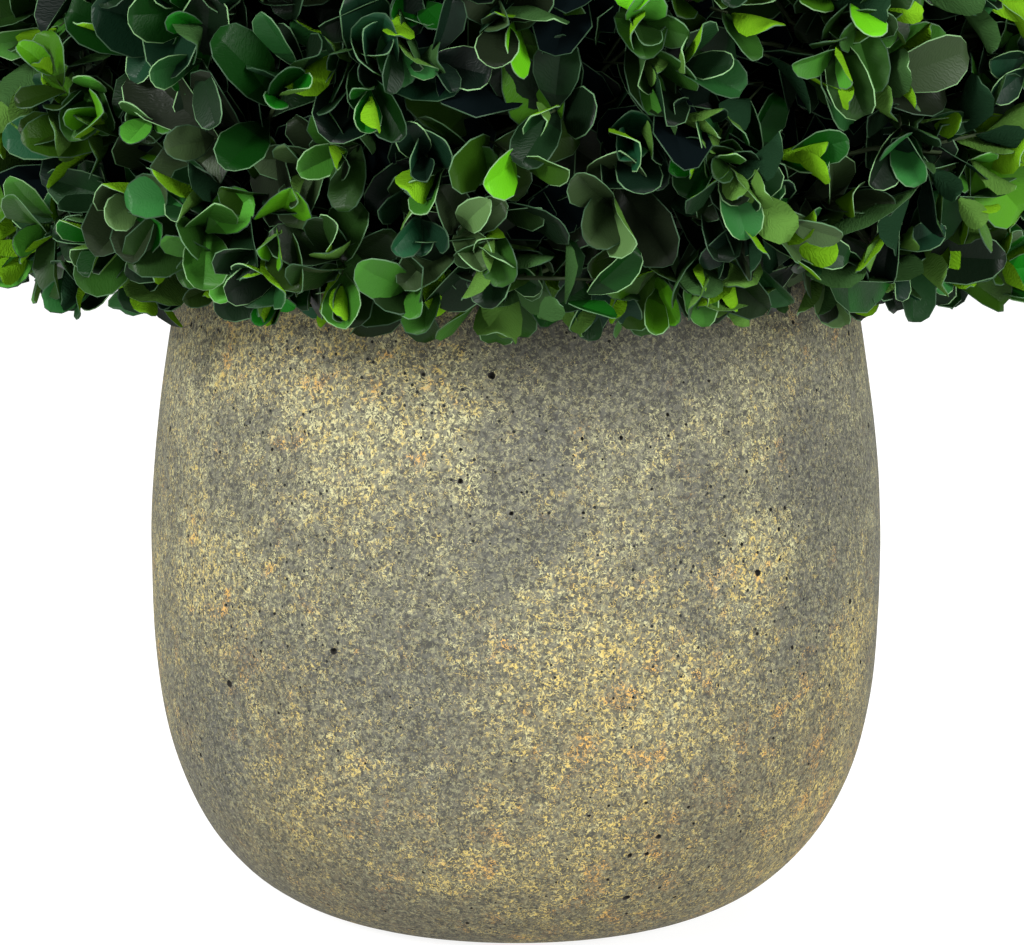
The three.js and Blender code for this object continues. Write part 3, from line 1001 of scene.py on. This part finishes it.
def mix_mesh():
    """Crumbly potting mix: a lumpy top, and sides that stand just clear of the pot."""
    rings = 30
    sides = 120
    walls = 14
    sunk = 1.5
    edge = float(pot_radius(MIX_EDGE_TOP)) - POT_WALL - MIX_CLEARANCE
    foot = POT_FLOOR + MIX_CLEARANCE
    profile = [(edge * ring / rings, MIX_EDGE_TOP) for ring in range(1, rings + 1)]
    for height in np.linspace(MIX_EDGE_TOP - 2, foot, walls):
        profile.append((float(pot_radius(height)) - POT_WALL - MIX_CLEARANCE, height))
    points = []
    for ring, (radius, height) in enumerate(profile):
        for side in range(sides):
            angle = TAU * side / sides
            spot = Vector((radius * math.cos(angle), radius * math.sin(angle), height))
            if ring < rings:
                crown = (MIX_TOP - MIX_EDGE_TOP) * (1 - radius / edge) - sunk
                spot.z += crown + 1.6 * noise.noise(spot / 9) + 1.1 * noise.noise(spot / 3.4)
            points.append(spot)
    points += [Vector((0, 0, MIX_TOP - sunk)), Vector((0, 0, foot))]
    quads = grid_quads(len(profile), sides)[:, ::-1]
    ends = end_fans(sides, (len(profile) - 1) * sides, len(profile) * sides)[:, ::-1]
    return mesh_object("potting_mix_top", np.array(points), quads, ends, [soil()])


def stem_mesh(material):
    """The stem, with ridged bark and a flared foot."""
    rings = 26
    sides = 40
    shares = np.linspace(0, 1, rings)
    heights = MIX_TOP + (STEM_TOP - MIX_TOP) * shares
    base = np.interp(shares, [0, 0.3, 1], [STEM_FOOT_RADIUS, STEM_RADIUS, STEM_TIP_RADIUS])
    points = []
    for share, height, reach in zip(shares, heights, base):
        for side in range(sides):
            angle = TAU * side / sides
            way = Vector((math.cos(angle), math.sin(angle), 0))
            ridge = noise.noise(Vector((way.x * 3.2, way.y * 3.2, height / 16)))
            radius = reach + BARK_RIDGE * ridge - 0.4
            points.append([radius * way.x + STEM_LEAN * share, radius * way.y, height])
    points += [[0, 0, MIX_TOP], [STEM_LEAN, 0, STEM_TOP]]
    ends = end_fans(sides, (rings - 1) * sides, rings * sides)
    return mesh_object("stem_bark", np.array(points), grid_quads(rings, sides), ends, [material])


def bough_mesh(limbs, material):
    """The stem's upper end and every limb from it, a little bent and thinning outwards."""
    fork, heel, tip = limbs
    shares = np.array([0.0, 0.25, 0.5, 0.75, 1.0])
    paths = fork[:, None] + (heel - fork)[:, None] * shares[None, :, None]
    sway = rng.normal(size=(len(fork), 1, 3)) * BOUGH_SWAY
    paths = paths + sway * np.sin(math.pi * shares)[None, :, None]
    end = heel + (tip - heel) * BOUGH_END
    paths = np.concatenate([paths, end[:, None]], 1)
    taper = TWIG_RADIUS * np.array(BOUGH_TAPER)
    radii = taper * rng.uniform(0.9, 1.1, (len(fork), len(BOUGH_TAPER)))
    points, quads, triangles = tubes(paths, radii, 6)
    rings = 9
    leader = np.stack([
        STEM_LEAN * np.linspace(1, 0, rings),
        np.zeros(rings),
        np.linspace(STEM_TOP + 0.5, BALL_CENTRE_HEIGHT, rings),
    ], -1)[None]
    leader_radii = np.linspace(STEM_TIP_RADIUS - 0.2, STEM_TIP_RADIUS / 2, rings)[None]
    more, more_quads, more_triangles = tubes(leader, leader_radii, 20)
    quads = np.concatenate([quads, more_quads + len(points)])
    triangles = np.concatenate([triangles, more_triangles + len(points)])
    return mesh_object("boughs", np.concatenate([points, more]), quads, triangles, [material])


def sprig_mesh(limbs, place, direction):
    """A fine stem for each sprig that bears leaves, out of the heel of the nearest limb's tip."""
    _, heel, tip = limbs
    base = place - direction * SPRIG_DEPTH
    nearest = np.argmin(np.linalg.norm(place[:, None] - tip[None], axis=-1), axis=1)
    start = heel[nearest]
    middle = (start + base) / 2 + (base - start) * 0.1
    knees = [place - direction * depth for depth in SPRIG_KNEES]
    paths = np.stack([start, middle, *knees], 1)
    paths[..., 2] = np.maximum(paths[..., 2], hem_height(paths) + HEM_UNEVEN)
    radii = SPRIG_RADIUS * np.array(SPRIG_TAPER) * rng.uniform(0.85, 1.15, (len(place), 1))
    points, quads, triangles = tubes(paths, radii, 5)
    green = leaf_material("young_stem", linear(36, 46, 26), STEM_FINISH)
    return mesh_object("sprig_stems", points, quads, triangles, [green])


# ---- the leaves

def dealt_tints(place):
    """A tint for each sprig, drawn at random."""
    weights = np.array([weight for _, weight in TINTS.values()])
    edges = np.cumsum(weights / weights.sum())
    return np.searchsorted(edges, rng.random(len(place))).clip(0, len(weights) - 1)


def sprig_leaves(place, direction):
    """Pairs of leaves, each pair about square to the last, down every sprig. Some sprigs are wide open."""
    count = len(place)
    first_roll = TAU * rng.random(count)
    tint = dealt_tints(place)
    above = HEM_UNEVEN * rng.random(count) ** 3
    openness = rng.uniform(*SPRIG_OPENNESS, count)
    vigour = rng.uniform(*SPRIG_VIGOUR, count)
    groups = []
    for pair, (depth, lean, size, blade) in enumerate(PAIRS):
        for side in (0, 1):
            root = place - direction * (depth + rng.uniform(-ROOT_JITTER, ROOT_JITTER, (count, 1)))
            roll = first_roll + math.pi * (pair / 2 + side) + rng.normal(size=count) * ROLL_JITTER
            leans = lean * openness ** (1 / (pair + 1)) + rng.normal(size=count) * LEAN_JITTER
            sizes = size * vigour * rng.uniform(*LEAF_SIZES, count)
            points, marks, kept = fitted_leaves(
                blade, sizes, root, direction, roll, leans.clip(*LEAN_LIMITS), above
            )
            grown = rng.random(len(points)) > MISSING_LEAVES
            points = points[grown]
            marks = marks[grown]
            sprig = np.flatnonzero(kept)[grown]
            own = len(sprig)
            # Each leaf's tint; its step of shade, drawn at random but darker down the sprig as painted
            # shade; its underside, likewise darker down the sprig; and its rim, of which the deepest pairs
            # never take the palest.
            look = np.stack([
                tint[sprig],
                (rng.integers(1, 5, own) - pair).clip(0, len(RANDOM_AND_PAINTED_SHADE_STEPS) - 1),
                (2 - pair + rng.integers(0, 3, own)).clip(0, len(UNDERSIDES) - 1),
                rng.integers(0, len(RIMS) - pair // 2, own),
            ])
            groups.append((blade, points, marks, look, sprig))
    return groups


def inner_leaves():
    """Leaves deep in the ball, which keep its gaps dark: they block the light, and their near-black tint is
    painted shade.
    """
    index = np.arange(INNER_LEAVES)
    rise = 1 - 2 * (index + 0.5) / INNER_LEAVES
    flat = np.sqrt(1 - rise ** 2)
    way = np.stack([flat * np.cos(index * GOLDEN_ANGLE), flat * np.sin(index * GOLDEN_ANGLE), rise], -1)
    depth = rng.uniform(*INNER_SHELL, (INNER_LEAVES, 1))
    root = BALL_CENTRE + way * depth
    root[:, 2] = np.maximum(root[:, 2], rng.uniform(*INNER_LOWEST, INNER_LEAVES))
    direction = unit(way + INNER_SPLAY * rng.normal(size=way.shape))
    roll = TAU * rng.random(INNER_LEAVES)
    lean = rng.uniform(*INNER_LEAN, INNER_LEAVES)
    size = rng.uniform(*INNER_SIZES, INNER_LEAVES)
    above = np.full(INNER_LEAVES, HEM_UNEVEN)
    points, marks, kept = fitted_leaves(HIDDEN, size, root, direction, roll, lean, above)
    look = np.tile([[list(TINTS).index("painted_deep_shade")], [1], [0], [0]], len(points))
    return HIDDEN, points, marks, look


def leaf_piece(name, groups, materials):
    """One mesh of many leaves, creased along their midribs and rims, and marked with each point's own place
    on its leaf for the veins."""
    parts = []
    start = 0
    crease_start = 1
    for blade, points, marks, look in groups:
        count = len(points)
        per_leaf = len(blade.rows) * blade.columns
        faces, zone = blade.faces()
        faces = faces + start + per_leaf * np.arange(count)[:, None, None]
        crease = np.zeros((count, len(blade.rows), blade.columns), int)
        lines = (0, 1, blade.midrib, blade.top - 2, blade.top - 1)
        for line, column in enumerate(lines):
            crease[:, 1:, column] = crease_start + line + len(lines) * np.arange(count)[:, None]
        slots = leaf_slots(zone, look)
        parts.append((
            points.reshape(-1, 3), faces.reshape(-1, 3), slots.ravel(), crease.ravel(), marks.reshape(-1, 2),
        ))
        crease_start += len(lines) * count
        start += per_leaf * count
    vertices, faces, slots, creases, marked = (np.concatenate(part) for part in zip(*parts))
    return mesh_object(name, vertices, (), faces, materials, slots, creases, marked)


def foliage(limbs):
    """The sprigs' stems, their leaves in sectors round the ball, and the dark leaves inside."""
    place, direction = fine_sprigs()
    materials = leaf_materials()
    around = np.arctan2(place[:, 1], place[:, 0]) / TAU + 0.5
    sector = np.floor(around * PIECES).astype(int).clip(0, PIECES - 1)
    groups = sprig_leaves(place, direction)
    leaves = np.bincount(np.concatenate([sprig for *_, sprig in groups]), minlength=SPRIGS)
    leafy = leaves >= LEAFY_SPRIG
    pieces = [sprig_mesh(limbs, place[leafy], direction[leafy])]
    for number in range(PIECES):
        own = []
        for blade, points, marks, look, sprig in groups:
            mine = sector[sprig] == number
            own.append((blade, points[mine], marks[mine], look[:, mine]))
        pieces.append(leaf_piece(f"leaf_sprays_{number + 1}", own, materials))
    pieces.append(leaf_piece("inner_leaves", [inner_leaves()], materials))
    return pieces


# ---- light, floor and camera

def aimed(name, data, place, aim):
    """A lamp or a camera, turned from its place towards its aim."""
    item = bpy.data.objects.new(name, data)
    item.location = place
    item.rotation_euler = (Vector(aim) - Vector(place)).to_track_quat("-Z", "Y").to_euler()
    bpy.context.scene.collection.objects.link(item)
    return item


def lamp(name, place, width, watts):
    """A round soft lamp."""
    light = bpy.data.lights.new(name, "AREA")
    light.shape = "DISK"
    light.size = width
    light.energy = watts
    aimed(name, light, place, LAMP_AIM)


def walls():
    """White light from all round, which fades with the height that it comes from."""
    world = bpy.data.worlds.new("studio")
    world.use_nodes = True
    tree = world.node_tree
    new = tree.nodes.new
    way = new("ShaderNodeTexCoord").outputs["Generated"]
    height = new("ShaderNodeSeparateXYZ")
    tree.links.new(way, height.inputs[0])
    light = new("ShaderNodeMapRange")
    for index, number in enumerate(SKY_FADE + SKY_LIGHT):
        light.inputs[index + 1].default_value = number
    tree.links.new(height.outputs["Z"], light.inputs[0])
    background = tree.nodes["Background"]
    background.inputs["Color"].default_value = (1, 1, 1, 1)
    tree.links.new(light.outputs["Result"], background.inputs["Strength"])
    bpy.context.scene.world = world


def floor():
    """A plain white floor, which glows a little so that it stays white far behind the pot."""
    nodes = Nodes("floor")
    nodes.set("Base Color", (0.2, 0.2, 0.2, 1))
    nodes.set("Roughness", 0.9)
    nodes.set("Emission Color", (1, 1, 1, 1))
    nodes.set("Emission Strength", 0.86)
    corners = FLOOR_REACH * np.array([[-1, -1, 0], [1, -1, 0], [1, 1, 0], [-1, 1, 0]])
    mesh_object("floor", corners, [[0, 1, 2, 3]], (), [nodes.material])


def camera():
    """The photograph's viewing angle."""
    elevation = math.radians(CAMERA_ELEVATION)
    lens = bpy.data.cameras.new("camera")
    lens.lens = CAMERA_LENS
    lens.sensor_width = CAMERA_SENSOR
    away = CAMERA_DISTANCE * Vector((0, -math.cos(elevation), math.sin(elevation)))
    bpy.context.scene.camera = aimed("camera", lens, Vector(CAMERA_AIM) + away, CAMERA_AIM)


# ---- the whole plant

limbs = main_limbs()
wood = bark()
dress(pot_mesh(), "pot_cement", "pot")
dress(mix_mesh(), "potting_mix", "potting_mix")
dress(stem_mesh(wood), "bark", "stem")
dress(bough_mesh(limbs, wood), "bark", "foliage_ball")
for piece in foliage(limbs):
    dress(piece, "bark" if piece.name == "sprig_stems" else "foliage", "foliage_ball")
walls()
floor()
for name, (place, width, watts) in LAMPS.items():
    lamp(name, place, width, watts)
camera()
bpy.context.scene.view_settings.view_transform = "Standard"
